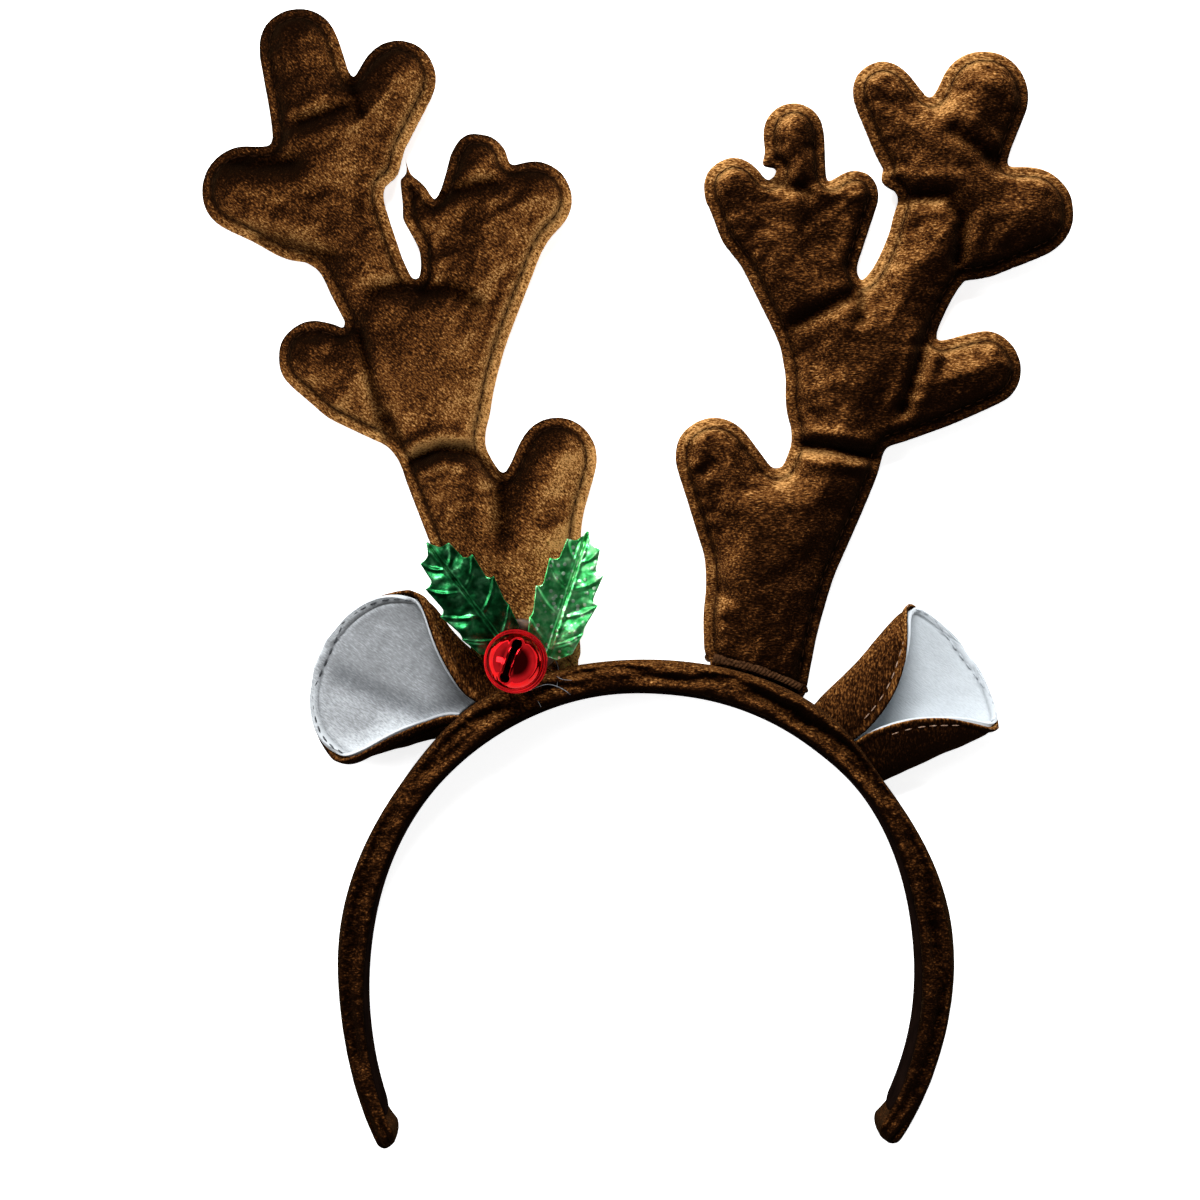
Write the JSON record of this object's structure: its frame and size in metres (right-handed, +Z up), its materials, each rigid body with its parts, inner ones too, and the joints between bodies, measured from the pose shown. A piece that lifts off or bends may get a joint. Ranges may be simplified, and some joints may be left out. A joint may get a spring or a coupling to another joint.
{
  "type": "reindeer antler headband",
  "caption": "Padded alice headband with stuffed velvet antlers, lined cloth ears, foil holly leaves and a jingle bell, lying flat on its back.",
  "frame": {"origin": "on the table, under the middle of the headband's bounding box as it lies on its back", "axes": "+Z up and away from the table, out of the front of the headband; +Y from the band's open ends to the antlers; +X to the right of someone who looks at the front"},
  "size_m": [0.2094, 0.2728, 0.031],
  "materials": {
    "black_plastic": "moulded, glossy",
    "brown_velvet": "crushed velvet with a short pile",
    "white_lining": "brushed white plush with a silvery nap",
    "ribbed_tape": "fine ribbed tape",
    "hot_glue": "clear set glue",
    "green_foil_dark": "mirror foil, embossed",
    "green_foil_bright": "holographic foil, embossed",
    "red_bell_metal": "mirror-bright lacquered metal",
    "steel": "plain"
  },
  "bodies": {
    "root": {"band_strip": "black_plastic", "band_cover": "brown_velvet", "antler_left": "brown_velvet", "antler_right": "brown_velvet", "ear_left_outer": "brown_velvet", "ear_left_lining": "white_lining", "ear_right_outer": "brown_velvet", "ear_right_lining": "white_lining", "join_braid": "ribbed_tape", "glue_dab": "hot_glue", "holly_leaf_left": "green_foil_dark", "holly_leaf_right": "green_foil_bright", "bell_front": "red_bell_metal", "bell_back": "red_bell_metal", "bell_pellet": "steel"}
  },
  "joints": []
}
